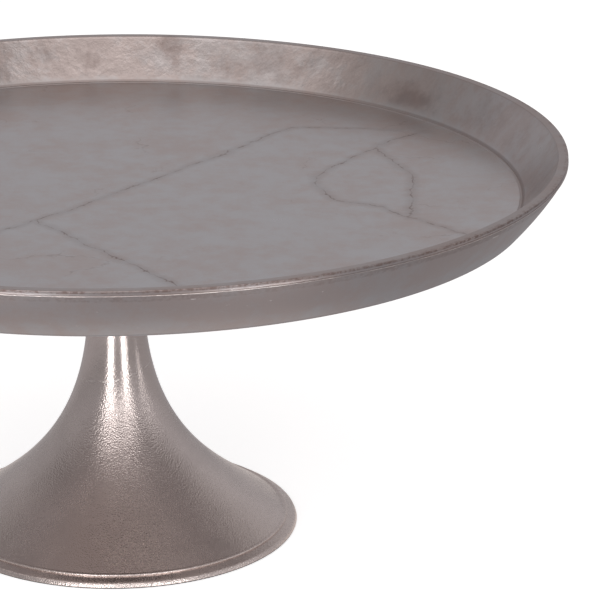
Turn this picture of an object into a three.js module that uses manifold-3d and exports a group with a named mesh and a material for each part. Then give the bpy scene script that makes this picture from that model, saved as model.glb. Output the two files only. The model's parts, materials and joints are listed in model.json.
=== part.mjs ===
// Round pedestal tray table: sheet brass over a wooden core, on a cast brass trumpet foot.
// Millimetres, +Z up. The origin is the middle of the foot, on the floor.

import * as THREE from 'three';
import { mergeVertices } from 'three/addons/utils/BufferGeometryUtils.js';
import Module from 'manifold-3d';

const wasm = await Module();
wasm.setup();

// ---- Driving dimensions ----------------------------------------------------------------

const GAP = 0.3;                      // clearance between touching pieces

// Tray
const TABLE_HEIGHT = 397;             // top of the lip
const TRAY_RADIUS = 450;
const LIP_WIDTH = 9.5;
const FLOOR_RADIUS = 406;             // flat floor, where the inner wall starts
const FLOOR_Z = 353.7;                // top of the tray floor
const BAND_HEIGHT = 5.6;              // upright edge that the lip turns down into
const TRAY_BOTTOM_RADIUS = 413.6;
const TRAY_BOTTOM_Z = 343;
const WALL_BULGE = 2;                 // outward swell of the outer wall at mid height
const SHEET = 1;                      // brass sheet of the tray
const HEM_INNER_RADIUS = 404;         // the outer wall is turned in under the tray to here
const CORNER_RADIUS = 1.5;
const COVE_RADIUS = 6;                // between tray floor and inner wall

// Pedestal
const NECK_RADIUS = 29;
const NECK_Z = 225;                   // joint between the trumpet and the capital
const TRUMPET_START = [168.4, 10.6];   // where the flank leaves the foot moulding
const TRUMPET_HANDLES = [[96.4, 57.1], [34.1, 103.4]];
const CASTING_WALL = 3;
const FOOT_BOTTOM_Z = 1;              // metal foot edge, clear of the floor
const FOOT_INNER_RADIUS = 160;
const FOOT_MOULDING = [               // slanted edge, ramp and bead, from the floor up
  [182.2, FOOT_BOTTOM_Z],
  [182.4, 1.9],
  [181.6, 3.9],
  [179.6, 5.4],
  [172.8, 8.3],
  [172.1, 9.6],
  [171, 10.7],
  [169.6, 11],
];
const LEDGE_RADIUS = 148;             // inner edge of the ledge that the base plate meets
const CAPITAL_RIM_RADIUS = 56;
const CAPITAL_RIM_HEIGHT = 4;

// Mounting flange and its screws
const FLANGE_RADIUS = 110;
const FLANGE_THICKNESS = 5;
const FLANGE_SCREW_CIRCLE = 92;
const FLANGE_SCREW_COUNT = 6;
const FLANGE_SCREW_RADIUS = 3;        // M6
const FLANGE_SCREW_HEAD = 3.4;
const FLANGE_HOLE_RADIUS = 3.5;
const BOSS_RADIUS = 17;
const BOSS_HEIGHT = 22;

// Column and tie rod
const COLUMN_RADIUS = 21;
const COLUMN_WALL = 2;
const ROD_RADIUS = 4.9;               // M10
const ROD_BOTTOM_Z = 1;
const ROD_END_GAP = 3;                // above the rod, inside the boss
const ROD_NUT_WIDTH = 17;
const ROD_NUT_HEIGHT = 5;
const WASHER_RADIUS = 10;
const WASHER_THICKNESS = 2;
const SLEEVE_HEIGHT = 50;

// Weighted base
const PLATE_BOTTOM_Z = 9.3;
const PLATE_THICKNESS = 4;
const BALLAST_RADIUS = 100;
const BALLAST_HEIGHT = 28;
const BALLAST_SCREW_CIRCLE = 65;
const BALLAST_SCREW_COUNT = 3;
const BALLAST_SCREW_RADIUS = 3.9;     // M8
const BALLAST_SCREW_HEAD = 4.2;
const BALLAST_SCREW_TOP_Z = 25;
const M8_HOLE_RADIUS = 4.4;
const FOOT_RING_OUTER_RADIUS = 181;
const FOOT_RING_INNER_RADIUS = 153;

// Levelling glides
const GLIDE_COUNT = 4;
const GLIDE_CIRCLE = 122;
const PAD_RADIUS = 15;
const PAD_BOTTOM_Z = 0.8;
const PAD_HEIGHT = 3.5;
const STUD_RADIUS = 3.85;             // M8
const STUD_TOP_Z = 31.5;
const GLIDE_NUT_WIDTH = 13;
const GLIDE_NUT_HEIGHT = 6.5;

// Facets round each turned piece
const TRAY_FACETS = 64;
const PEDESTAL_FACETS = 40;
const TUBE_FACETS = 24;
const SCREW_FACETS = 12;

// ---- Derived dimensions ----------------------------------------------------------------

const LIP_INNER_RADIUS = TRAY_RADIUS - LIP_WIDTH;
const BAND_BOTTOM_Z = TABLE_HEIGHT - BAND_HEIGHT;
const APRON_TOP_Z = BAND_BOTTOM_Z - GAP;
const INNER_WALL_ANGLE = Math.atan2(TABLE_HEIGHT - FLOOR_Z, LIP_INNER_RADIUS - FLOOR_RADIUS);
const APRON_ANGLE = Math.atan2(APRON_TOP_Z - TRAY_BOTTOM_Z, TRAY_RADIUS - TRAY_BOTTOM_RADIUS);
const APRON_SHEET = SHEET / Math.sin(APRON_ANGLE);  // the apron's wall, measured level

const UNDERSIDE_BOTTOM_Z = TRAY_BOTTOM_Z + SHEET + GAP;
const CORE_BOTTOM_Z = UNDERSIDE_BOTTOM_Z + SHEET + GAP;
const CORE_TOP_Z = FLOOR_Z - SHEET - GAP;
const CORE_RADIUS = HEM_INNER_RADIUS;

const FLANGE_TOP_Z = UNDERSIDE_BOTTOM_Z - GAP;
const FLANGE_BOTTOM_Z = FLANGE_TOP_Z - FLANGE_THICKNESS;
const CAPITAL_TOP_Z = FLANGE_BOTTOM_Z - GAP;
const PLATE_TOP_Z = PLATE_BOTTOM_Z + PLATE_THICKNESS;
const ON_PLATE_Z = PLATE_TOP_Z + GAP;
const UNDER_PLATE_Z = PLATE_BOTTOM_Z - GAP;

// ---- Shape helpers ---------------------------------------------------------------------

// Turns corners [radius, z, fillet] into outline points, with an arc at each filleted corner.
function outline(corners, arcSteps = 2) {
  const points = [];
  corners.forEach(([r, z, fillet = 0], i) => {
    const corner = new THREE.Vector2(r, z);
    if (fillet === 0) {
      points.push(corner);
      return;
    }
    const before = new THREE.Vector2(...corners[i - 1]).sub(corner).normalize();
    const after = new THREE.Vector2(...corners[i + 1]).sub(corner).normalize();
    const halfAngle = Math.acos(before.dot(after)) / 2;
    const reach = fillet / Math.tan(halfAngle);
    const middle = before.clone().add(after).normalize().multiplyScalar(fillet / Math.sin(halfAngle));
    const centre = corner.clone().add(middle);
    const start = corner.clone().addScaledVector(before, reach).sub(centre);
    const end = corner.clone().addScaledVector(after, reach).sub(centre);
    const sweep = Math.atan2(start.cross(end), start.dot(end));
    for (let step = 0; step <= arcSteps; step += 1) {
      const spoke = start.clone().rotateAround(new THREE.Vector2(), sweep * step / arcSteps);
      points.push(spoke.add(centre));
    }
  });
  return points;
}

// Turns an outline about Z. An outline off the axis closes on itself as a ring.
function turned(points, facets) {
  const profile = [...points];
  if (profile[0].x > 0) {
    profile.push(profile[0].clone());
  }
  const area = profile.reduce((sum, p, i) => sum + p.cross(profile[(i + 1) % profile.length]), 0);
  if (area < 0) {
    profile.reverse();
  }
  return new THREE.LatheGeometry(profile, facets).rotateX(Math.PI / 2);
}

function cylinder(radius, bottomZ, topZ, facets) {
  const corners = [[0, bottomZ], [radius, bottomZ], [radius, topZ], [0, topZ]];
  return turned(outline(corners), facets);
}

function ring(innerRadius, outerRadius, bottomZ, topZ, facets) {
  const corners = [
    [innerRadius, bottomZ],
    [outerRadius, bottomZ],
    [outerRadius, topZ],
    [innerRadius, topZ],
  ];
  return turned(outline(corners), facets);
}

function hexagon(widthAcrossFlats, bottomZ, topZ) {
  return cylinder(widthAcrossFlats / Math.sqrt(3), bottomZ, topZ, 6);
}

// Places of count equal pieces round a circle, starting at angle.
function around(count, radius, angle = 0) {
  return Array.from({ length: count }, (_, i) => {
    const turn = angle + 2 * Math.PI * i / count;
    return new THREE.Vector3(radius * Math.cos(turn), radius * Math.sin(turn), 0);
  });
}

function toSolid(geometry) {
  const bare = geometry.clone();
  bare.deleteAttribute('normal');
  bare.deleteAttribute('uv');
  const merged = mergeVertices(bare, 1e-4);
  const triangles = [];
  for (let i = 0; i < merged.index.count; i += 3) {
    const [a, b, c] = merged.index.array.slice(i, i + 3);
    if (a !== b && b !== c && c !== a) {
      triangles.push(a, b, c);
    }
  }
  return new wasm.Manifold(new wasm.Mesh({
    numProp: 3,
    vertProperties: new Float32Array(merged.attributes.position.array),
    triVerts: new Uint32Array(triangles),
  }));
}

function toGeometry(solid) {
  const mesh = solid.getMesh();
  const geometry = new THREE.BufferGeometry();
  geometry.setAttribute('position', new THREE.BufferAttribute(mesh.vertProperties, 3));
  geometry.setIndex(new THREE.BufferAttribute(mesh.triVerts, 1));
  geometry.computeVertexNormals();
  return geometry;
}

function cut(geometry, tools) {
  const result = tools.reduce((solid, tool) => solid.subtract(toSolid(tool)), toSolid(geometry));
  return toGeometry(result);
}

function joined(pieces) {
  const [first, ...rest] = pieces.map(toSolid);
  return toGeometry(rest.reduce((solid, piece) => solid.add(piece), first));
}

// One drill for each place.
function drills(places, radius, bottomZ, topZ) {
  return places.map(({ x, y }) => {
    return cylinder(radius, bottomZ, topZ, SCREW_FACETS).translate(x, y, 0);
  });
}

// ---- Tray ------------------------------------------------------------------------------

// How far the inner wall's corners move outward when it is offset down by a distance.
function wallShift(distance) {
  return distance * Math.tan(INNER_WALL_ANGLE / 2);
}

function apronRadius(z) {
  const rise = (z - TRAY_BOTTOM_Z) / (APRON_TOP_Z - TRAY_BOTTOM_Z);
  const straight = THREE.MathUtils.lerp(TRAY_BOTTOM_RADIUS, TRAY_RADIUS, rise);
  return straight + 4 * WALL_BULGE * rise * (1 - rise);
}

// The apron's flank between two heights, moved in by inset.
function apronFlank(bottomZ, topZ, inset, steps = 3) {
  return Array.from({ length: steps + 1 }, (_, i) => {
    const z = THREE.MathUtils.lerp(bottomZ, topZ, i / steps);
    return [apronRadius(z) - inset, z];
  });
}

// Floor, inner wall, lip and turned-down band, spun from one sheet.
function trayPan() {
  const shift = wallShift(SHEET);
  const lipBottomZ = TABLE_HEIGHT - SHEET;
  const corners = [
    [0, FLOOR_Z - SHEET],
    [FLOOR_RADIUS + shift, FLOOR_Z - SHEET, COVE_RADIUS + SHEET],
    [LIP_INNER_RADIUS + shift, lipBottomZ],
    [TRAY_RADIUS - SHEET, lipBottomZ],
    [TRAY_RADIUS - SHEET, BAND_BOTTOM_Z],
    [TRAY_RADIUS, BAND_BOTTOM_Z],
    [TRAY_RADIUS, TABLE_HEIGHT, CORNER_RADIUS],
    [LIP_INNER_RADIUS, TABLE_HEIGHT, CORNER_RADIUS],
    [FLOOR_RADIUS, FLOOR_Z, COVE_RADIUS],
    [0, FLOOR_Z],
  ];
  return turned(outline(corners), TRAY_FACETS);
}

// Outer wall with a hem turned in under the tray.
function trayApron() {
  const hemTopZ = TRAY_BOTTOM_Z + SHEET;
  const outerFlank = apronFlank(TRAY_BOTTOM_Z, APRON_TOP_Z, 0).slice(1);
  const innerFlank = apronFlank(hemTopZ, APRON_TOP_Z, APRON_SHEET).reverse();
  const corners = [
    [HEM_INNER_RADIUS, TRAY_BOTTOM_Z],
    [TRAY_BOTTOM_RADIUS, TRAY_BOTTOM_Z, CORNER_RADIUS],
    ...outerFlank,
    ...innerFlank,
    [HEM_INNER_RADIUS, hemTopZ],
  ];
  return turned(outline(corners), TRAY_FACETS);
}

// Turned wooden hoop between the inner wall and the apron.
function rimCore() {
  const shift = wallShift(SHEET + GAP);
  const inset = APRON_SHEET + GAP;
  const topZ = TABLE_HEIGHT - SHEET - GAP;
  const corners = [
    [CORE_RADIUS + GAP, CORE_BOTTOM_Z],
    ...apronFlank(CORE_BOTTOM_Z, APRON_TOP_Z, inset),
    [TRAY_RADIUS - inset, topZ],
    [LIP_INNER_RADIUS + shift, topZ],
    [FLOOR_RADIUS + shift, CORE_TOP_Z],
    [CORE_RADIUS + GAP, CORE_TOP_Z],
  ];
  return turned(outline(corners), TRAY_FACETS);
}

const flangeScrewPlaces = around(FLANGE_SCREW_COUNT, FLANGE_SCREW_CIRCLE, Math.PI / FLANGE_SCREW_COUNT);
const FLANGE_SCREW_TOP_Z = CORE_TOP_Z - 2;

function trayUnderside() {
  const radius = TRAY_BOTTOM_RADIUS - APRON_SHEET;
  const disc = cylinder(radius, UNDERSIDE_BOTTOM_Z, UNDERSIDE_BOTTOM_Z + SHEET, TRAY_FACETS);
  const reach = [FLANGE_TOP_Z, CORE_BOTTOM_Z];
  return cut(disc, drills(flangeScrewPlaces, FLANGE_HOLE_RADIUS, ...reach));
}

function trayCore() {
  const disc = cylinder(CORE_RADIUS, CORE_BOTTOM_Z, CORE_TOP_Z, TRAY_FACETS);
  const reach = [UNDERSIDE_BOTTOM_Z, FLANGE_SCREW_TOP_Z + GAP];
  return cut(disc, drills(flangeScrewPlaces, FLANGE_HOLE_RADIUS, ...reach));
}

// ---- Flange, column and tie rod --------------------------------------------------------

function mountingFlange() {
  const corners = [
    [0, FLANGE_BOTTOM_Z],
    [FLANGE_RADIUS, FLANGE_BOTTOM_Z, 1],
    [FLANGE_RADIUS, FLANGE_TOP_Z],
    [0, FLANGE_TOP_Z],
  ];
  const disc = turned(outline(corners), PEDESTAL_FACETS);
  return cut(disc, drills(flangeScrewPlaces, FLANGE_HOLE_RADIUS, FLANGE_BOTTOM_Z - 1, FLANGE_TOP_Z + 1));
}

// Pan head screw pointing up from seatZ, with a hexagon socket in its head.
function panHeadScrew(shankRadius, seatZ, topZ, headHeight) {
  const headRadius = shankRadius * 1.75;
  const headBottomZ = seatZ - headHeight;
  const corners = [
    [0, headBottomZ],
    [headRadius, headBottomZ, headHeight / 2],
    [headRadius, seatZ],
    [shankRadius, seatZ],
    [shankRadius, topZ],
    [0, topZ],
  ];
  const blank = turned(outline(corners), SCREW_FACETS);
  const socket = hexagon(shankRadius * 1.3, headBottomZ - 1, headBottomZ + headHeight / 2);
  return cut(blank, [socket]);
}

const ROD_BORE_RADIUS = ROD_RADIUS + GAP;

function rodBoss() {
  return ring(ROD_BORE_RADIUS, BOSS_RADIUS, CAPITAL_TOP_Z - BOSS_HEIGHT, CAPITAL_TOP_Z, TUBE_FACETS);
}

function centerColumn() {
  return ring(COLUMN_RADIUS - COLUMN_WALL, COLUMN_RADIUS, ON_PLATE_Z, CAPITAL_TOP_Z, TUBE_FACETS);
}

function tieRod() {
  return cylinder(ROD_RADIUS, ROD_BOTTOM_Z, CAPITAL_TOP_Z - ROD_END_GAP, TUBE_FACETS);
}

function tieRodWasher() {
  return ring(ROD_BORE_RADIUS, WASHER_RADIUS, UNDER_PLATE_Z - WASHER_THICKNESS, UNDER_PLATE_Z, TUBE_FACETS);
}

function hexNut(width, boreRadius, bottomZ, topZ) {
  const bore = cylinder(boreRadius, bottomZ - 1, topZ + 1, SCREW_FACETS);
  return cut(hexagon(width, bottomZ, topZ), [bore]);
}

function tieRodNut() {
  const topZ = UNDER_PLATE_Z - WASHER_THICKNESS - GAP;
  return hexNut(ROD_NUT_WIDTH, ROD_BORE_RADIUS, topZ - ROD_NUT_HEIGHT, topZ);
}

// ---- Pedestal castings -----------------------------------------------------------------

// Points of a curve moved sideways by a distance, to the left of its direction.
function offsetPoints(curve, distance, steps) {
  return curve.getPoints(steps).map((point, i) => {
    const along = curve.getTangent(i / steps);
    return new THREE.Vector2(point.x - along.y * distance, point.y + along.x * distance);
  });
}

function trumpet() {
  const flank = new THREE.CubicBezierCurve(
    new THREE.Vector2(...TRUMPET_START),
    new THREE.Vector2(...TRUMPET_HANDLES[0]),
    new THREE.Vector2(...TRUMPET_HANDLES[1]),
    new THREE.Vector2(NECK_RADIUS, NECK_Z - GAP),
  );
  const inside = offsetPoints(flank, CASTING_WALL, 10)
    .filter((point) => point.x < LEDGE_RADIUS - 1)
    .reverse();
  inside[0].y = NECK_Z - GAP;
  const points = [
    ...outline([[FOOT_INNER_RADIUS, FOOT_BOTTOM_Z], ...FOOT_MOULDING]),
    ...flank.getPoints(11),
    ...inside,
    ...outline([[LEDGE_RADIUS, ON_PLATE_Z], [FOOT_INNER_RADIUS, ON_PLATE_Z]]),
  ];
  return turned(points, PEDESTAL_FACETS);
}

function capital() {
  const rimBottomZ = CAPITAL_TOP_Z - CAPITAL_RIM_HEIGHT;
  const flare = new THREE.CubicBezierCurve(
    new THREE.Vector2(NECK_RADIUS, NECK_Z),
    new THREE.Vector2(NECK_RADIUS, NECK_Z + 50),
    new THREE.Vector2(CAPITAL_RIM_RADIUS - 20, rimBottomZ - 22),
    new THREE.Vector2(CAPITAL_RIM_RADIUS, rimBottomZ),
  );
  const inside = offsetPoints(flare, CASTING_WALL, 5).reverse();
  inside[0].y = CAPITAL_TOP_Z;
  const points = [
    ...flare.getPoints(6),
    new THREE.Vector2(CAPITAL_RIM_RADIUS, CAPITAL_TOP_Z),
    ...inside,
  ];
  return turned(points, PEDESTAL_FACETS);
}

function neckSleeve() {
  const outerRadius = NECK_RADIUS - CASTING_WALL - GAP;
  const bottomZ = NECK_Z - SLEEVE_HEIGHT / 2;
  return ring(COLUMN_RADIUS + GAP, outerRadius, bottomZ, bottomZ + SLEEVE_HEIGHT, TUBE_FACETS);
}

// ---- Weighted base ---------------------------------------------------------------------

const glidePlaces = around(GLIDE_COUNT, GLIDE_CIRCLE, Math.PI / GLIDE_COUNT);
const ballastScrewPlaces = around(BALLAST_SCREW_COUNT, BALLAST_SCREW_CIRCLE, Math.PI / 2);

function basePlate() {
  const disc = cylinder(FOOT_INNER_RADIUS - GAP, PLATE_BOTTOM_Z, PLATE_TOP_Z, PEDESTAL_FACETS);
  const reach = [PLATE_BOTTOM_Z - 1, PLATE_TOP_Z + 1];
  return cut(disc, [
    cylinder(ROD_BORE_RADIUS, ...reach, SCREW_FACETS),
    ...drills(glidePlaces, M8_HOLE_RADIUS, ...reach),
    ...drills(ballastScrewPlaces, M8_HOLE_RADIUS, ...reach),
  ]);
}

function ballastDisc() {
  const topZ = ON_PLATE_Z + BALLAST_HEIGHT;
  const corners = [
    [COLUMN_RADIUS + GAP, ON_PLATE_Z],
    [BALLAST_RADIUS, ON_PLATE_Z],
    [BALLAST_RADIUS, topZ, 4],
    [COLUMN_RADIUS + GAP, topZ],
  ];
  const disc = turned(outline(corners), TUBE_FACETS);
  return cut(disc, drills(ballastScrewPlaces, M8_HOLE_RADIUS, PLATE_TOP_Z, BALLAST_SCREW_TOP_Z + 2));
}

// Rubber ring: an upright leg inside the foot and a thin lip under the metal edge.
function footRing() {
  const legRadius = FOOT_INNER_RADIUS - GAP;
  const lipTopZ = FOOT_BOTTOM_Z - GAP;
  const corners = [
    [FOOT_RING_INNER_RADIUS, 0],
    [FOOT_RING_OUTER_RADIUS, 0],
    [FOOT_RING_OUTER_RADIUS, lipTopZ],
    [legRadius, lipTopZ],
    [legRadius, UNDER_PLATE_Z],
    [FOOT_RING_INNER_RADIUS, UNDER_PLATE_Z],
  ];
  return turned(outline(corners), PEDESTAL_FACETS);
}

// ---- Levelling glides ------------------------------------------------------------------

const PAD_TOP_Z = PAD_BOTTOM_Z + PAD_HEIGHT;
const SOCKET_RADIUS = STUD_RADIUS + 2 * GAP;
const SOCKET_DEPTH = 2;

function glidePad() {
  const socketZ = PAD_TOP_Z - SOCKET_DEPTH;
  const corners = [
    [0, PAD_BOTTOM_Z],
    [PAD_RADIUS, PAD_BOTTOM_Z, 0.8],
    [PAD_RADIUS, PAD_TOP_Z, 1.2],
    [SOCKET_RADIUS, PAD_TOP_Z],
    [SOCKET_RADIUS, socketZ],
    [0, socketZ],
  ];
  return turned(outline(corners, 1), SCREW_FACETS);
}

// Threaded stud with a foot that swivels in the pad and a hexagon for a spanner.
function glideStud() {
  const footZ = PAD_TOP_Z - SOCKET_DEPTH + GAP;
  const hexBottomZ = PAD_TOP_Z + GAP;
  return joined([
    cylinder(STUD_RADIUS, footZ, STUD_TOP_Z, SCREW_FACETS),
    hexagon(GLIDE_NUT_WIDTH, hexBottomZ, UNDER_PLATE_Z - 0.1),
  ]);
}

function glideNut() {
  return hexNut(GLIDE_NUT_WIDTH, M8_HOLE_RADIUS, ON_PLATE_Z, ON_PLATE_Z + GLIDE_NUT_HEIGHT);
}

// ---- Assembly --------------------------------------------------------------------------

function finish(color, roughness, metalness) {
  return new THREE.MeshStandardMaterial({ color, roughness, metalness });
}

const finishes = {
  leafedSheet: () => finish('#9a8f8c', 0.42, 0.85),
  leafedCasting: () => finish('#8b8482', 0.3, 0.95),
  plywood: () => finish('#b58f63', 0.8, 0),
  zincSteel: () => finish('#a9abad', 0.35, 1),
  blackSteel: () => finish('#2c2d2f', 0.6, 0.4),
  castIron: () => finish('#3a3a3b', 0.8, 0.5),
  rubber: () => finish('#161616', 0.9, 0),
  plastic: () => finish('#1f1f20', 0.6, 0),
};

const table = new THREE.Group();

function add(name, geometry, finishName, place = new THREE.Vector3()) {
  const mesh = new THREE.Mesh(geometry, finishes[finishName]());
  mesh.name = name;
  mesh.position.copy(place);
  table.add(mesh);
}

add('tray_pan', trayPan(), 'leafedSheet');
add('tray_apron', trayApron(), 'leafedSheet');
add('tray_underside', trayUnderside(), 'leafedSheet');
add('tray_core', trayCore(), 'plywood');
add('rim_core', rimCore(), 'plywood');

add('mounting_flange', mountingFlange(), 'blackSteel');
add('rod_boss', rodBoss(), 'zincSteel');
add('center_column', centerColumn(), 'zincSteel');
add('tie_rod', tieRod(), 'zincSteel');
add('tie_rod_washer', tieRodWasher(), 'zincSteel');
add('tie_rod_nut', tieRodNut(), 'zincSteel');
flangeScrewPlaces.forEach((place, i) => {
  const screw = panHeadScrew(FLANGE_SCREW_RADIUS, CAPITAL_TOP_Z, FLANGE_SCREW_TOP_Z, FLANGE_SCREW_HEAD);
  add(`flange_screw_${i + 1}`, screw, 'blackSteel', place);
});

add('pedestal_trumpet', trumpet(), 'leafedCasting');
add('pedestal_capital', capital(), 'leafedCasting');
add('neck_sleeve', neckSleeve(), 'zincSteel');

add('base_plate', basePlate(), 'blackSteel');
add('ballast_disc', ballastDisc(), 'castIron');
add('foot_ring', footRing(), 'rubber');
ballastScrewPlaces.forEach((place, i) => {
  const screw = panHeadScrew(BALLAST_SCREW_RADIUS, UNDER_PLATE_Z, BALLAST_SCREW_TOP_Z, BALLAST_SCREW_HEAD);
  add(`ballast_screw_${i + 1}`, screw, 'zincSteel', place);
});

glidePlaces.forEach((place, i) => {
  add(`glide_pad_${i + 1}`, glidePad(), 'plastic', place);
  add(`glide_stud_${i + 1}`, glideStud(), 'zincSteel', place);
  add(`glide_nut_${i + 1}`, glideNut(), 'zincSteel', place);
});

export default table;
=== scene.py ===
import json
import math
from types import SimpleNamespace

import bpy
from bpy.props import FloatProperty, FloatVectorProperty, IntProperty, PointerProperty
from mathutils import Matrix, Vector
from mathutils.geometry import interpolate_bezier


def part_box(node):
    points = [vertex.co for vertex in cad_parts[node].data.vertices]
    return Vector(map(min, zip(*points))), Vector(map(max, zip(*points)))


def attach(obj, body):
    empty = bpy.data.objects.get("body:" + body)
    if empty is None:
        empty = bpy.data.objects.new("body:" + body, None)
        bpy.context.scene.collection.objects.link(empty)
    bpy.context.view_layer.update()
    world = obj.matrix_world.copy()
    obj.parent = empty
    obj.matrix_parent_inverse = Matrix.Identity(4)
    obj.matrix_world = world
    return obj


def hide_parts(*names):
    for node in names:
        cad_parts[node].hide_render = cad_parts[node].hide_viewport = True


bl_info = {
    "name": "Pedestal Tray Table",
    "version": (1, 0, 0),
    "blender": (4, 5, 0),
    "location": "View3D > Sidebar > Tray Table",
    "description": "A leafed brass tray table with a trumpet pedestal and levelling glides",
    "category": "Object",
}

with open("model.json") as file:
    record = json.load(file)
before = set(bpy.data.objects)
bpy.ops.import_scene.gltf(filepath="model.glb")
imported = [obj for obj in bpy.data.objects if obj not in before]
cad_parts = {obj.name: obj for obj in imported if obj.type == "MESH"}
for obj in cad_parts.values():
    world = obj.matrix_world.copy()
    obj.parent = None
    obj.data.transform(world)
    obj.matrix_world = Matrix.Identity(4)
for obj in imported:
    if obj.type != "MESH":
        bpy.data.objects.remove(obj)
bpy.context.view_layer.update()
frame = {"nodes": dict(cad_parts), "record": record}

MM = 0.001
_, PAN_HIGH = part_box("tray_pan")
APRON_LOW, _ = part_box("tray_apron")
TRUMPET_LOW, TRUMPET_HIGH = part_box("pedestal_trumpet")
CAPITAL_LOW, CAPITAL_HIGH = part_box("pedestal_capital")
_, RING_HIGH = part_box("foot_ring")
FLANGE_LOW, FLANGE_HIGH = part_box("mounting_flange")

# Leaf laps on the tray floor: runs of points in millimetres from its middle, to the nearest 5 mm
FLOOR_LAPS = (
    ((-200, -190), (-115, -140), (-75, -100), (-40, -65), (-10, -30), (50, 45), (80, 80), (135, 145)),
    ((135, 145), (165, 190), (190, 215), (300, 200)),
    ((-75, -100), (-60, -130), (-10, -205), (15, -245), (60, -310)),
    ((330, 190), (295, 165), (225, 70), (200, 35), (200, 0), (220, -50), (260, -75)),
    ((260, -75), (300, -125), (350, -185)),
    ((270, 130), (285, 85), (300, 30), (295, -40), (285, -110)),
)
NECK_LAP_HEIGHT = 166 * MM
NECK_LAP_RISE = 0.2                 # rise of the lap per metre towards +X
NECK_RADIUS = 29 * MM
NECK_BORE = 26 * MM
WALL_STAIN = (320 * MM, 275 * MM, 370 * MM)
WALL_STAIN_RUN = (-0.29, 0.35, 0)   # runs along the wall
UNDERSIDE_EDGE = 414 * MM           # radius where the flared wall meets the underside


# ---- Sizes and colours a user would change ---------------------------------------------


class TrayTableSizes(bpy.types.PropertyGroup):
    tray_radius: FloatProperty(
        name="Tray radius",
        description="Outermost radius of the tray's lip",
        default=PAN_HIGH.x,
        unit="LENGTH",
    )
    lip_width: FloatProperty(
        name="Lip width",
        description="Width of the flat lip, from the inner wall to the outer edge",
        default=9.5 * MM,
        unit="LENGTH",
    )
    floor_radius: FloatProperty(
        name="Floor radius",
        description="Radius of the flat floor, where the inner wall starts",
        default=406 * MM,
        unit="LENGTH",
    )
    floor_height: FloatProperty(
        name="Floor height",
        description="Height of the tray floor above the ground",
        default=353.7 * MM,
        unit="LENGTH",
    )
    band_height: FloatProperty(
        name="Band height",
        description="Height of the edge that the lip turns down into",
        default=5.6 * MM,
        unit="LENGTH",
    )
    sheet: FloatProperty(
        name="Sheet thickness",
        description="Thickness of the tray's brass sheet",
        default=1 * MM,
        unit="LENGTH",
    )
    casting_wall: FloatProperty(
        name="Casting wall",
        description="Wall thickness of the pedestal castings",
        default=3 * MM,
        unit="LENGTH",
    )
    facets: IntProperty(
        name="Facets",
        description="Facets round each large turned piece",
        default=288,
        min=16,
    )


class TrayTableFinish(bpy.types.PropertyGroup):
    cool_leaf: FloatVectorProperty(
        name="Cool leaf",
        description="Silver grey of the leaf where it is clean",
        subtype="COLOR",
        default=(0.56, 0.545, 0.555),
    )
    # Also laid on everything above the tray floor's level as a painted warm reflection, besides random
    # mottling
    warm_leaf: FloatVectorProperty(
        name="Warm leaf",
        description="Pinkish tone of the leaf where the clay shows through",
        subtype="COLOR",
        default=(0.545, 0.475, 0.46),
    )
    # Also laid as painted shade along the wall foot and on the rim towards +X
    clay: FloatVectorProperty(
        name="Clay",
        description="Red-brown clay under the leaf, seen in laps and on rubbed edges",
        subtype="COLOR",
        default=(0.19, 0.125, 0.11),
    )
    # Also painted along the tray's bead as a painted highlight, besides the rubbed-through wear
    bare_metal_and_highlight: FloatVectorProperty(
        name="Bare metal",
        description="Bright metal where the leaf and clay are rubbed through",
        subtype="COLOR",
        default=(0.86, 0.8, 0.77),
    )
    casting_leaf: FloatVectorProperty(
        name="Casting leaf",
        description="Leaf on the pedestal castings",
        subtype="COLOR",
        default=(0.745, 0.65, 0.615),
    )


def sizes():
    return bpy.context.scene.tray_table_sizes


def finish_colours():
    return bpy.context.scene.tray_table_finish


# ---- Shader maths ----------------------------------------------------------------------


class Wire:
    """A value in a material's nodes. Arithmetic on it adds Math nodes."""

    def __init__(self, tree, socket):
        self.tree = tree
        self.socket = socket

    def math(self, operation, *terms, clamp=False):
        node = self.tree.nodes.new("ShaderNodeMath")
        node.operation = operation
        node.use_clamp = clamp
        for slot, term in zip(node.inputs, terms):
            feed(self.tree, slot, term)
        return Wire(self.tree, node.outputs[0])

    def __add__(self, other):
        return self.math("ADD", self, other)

    def __sub__(self, other):
        return self.math("SUBTRACT", self, other)

    def __mul__(self, other):
        return self.math("MULTIPLY", self, other)

    def __pow__(self, other):
        return self.math("POWER", self, other)

    def __radd__(self, other):
        return self.math("ADD", other, self)

    def __rsub__(self, other):
        return self.math("SUBTRACT", other, self)

    def __rmul__(self, other):
        return self.math("MULTIPLY", other, self)

    def smaller(self, other):
        return self.math("MINIMUM", self, other)

    def larger(self, other):
        return self.math("MAXIMUM", self, other)

    def clamped(self):
        return self.math("ADD", self, 0.0, clamp=True)

    def distance_from(self, other):
        return self.math("ABSOLUTE", self - other)


def feed(tree, socket, value):
    """Links a wire to a socket, or sets the socket to a plain value."""
    if isinstance(value, Wire):
        tree.links.new(value.socket, socket)
    else:
        socket.default_value = value


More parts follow.
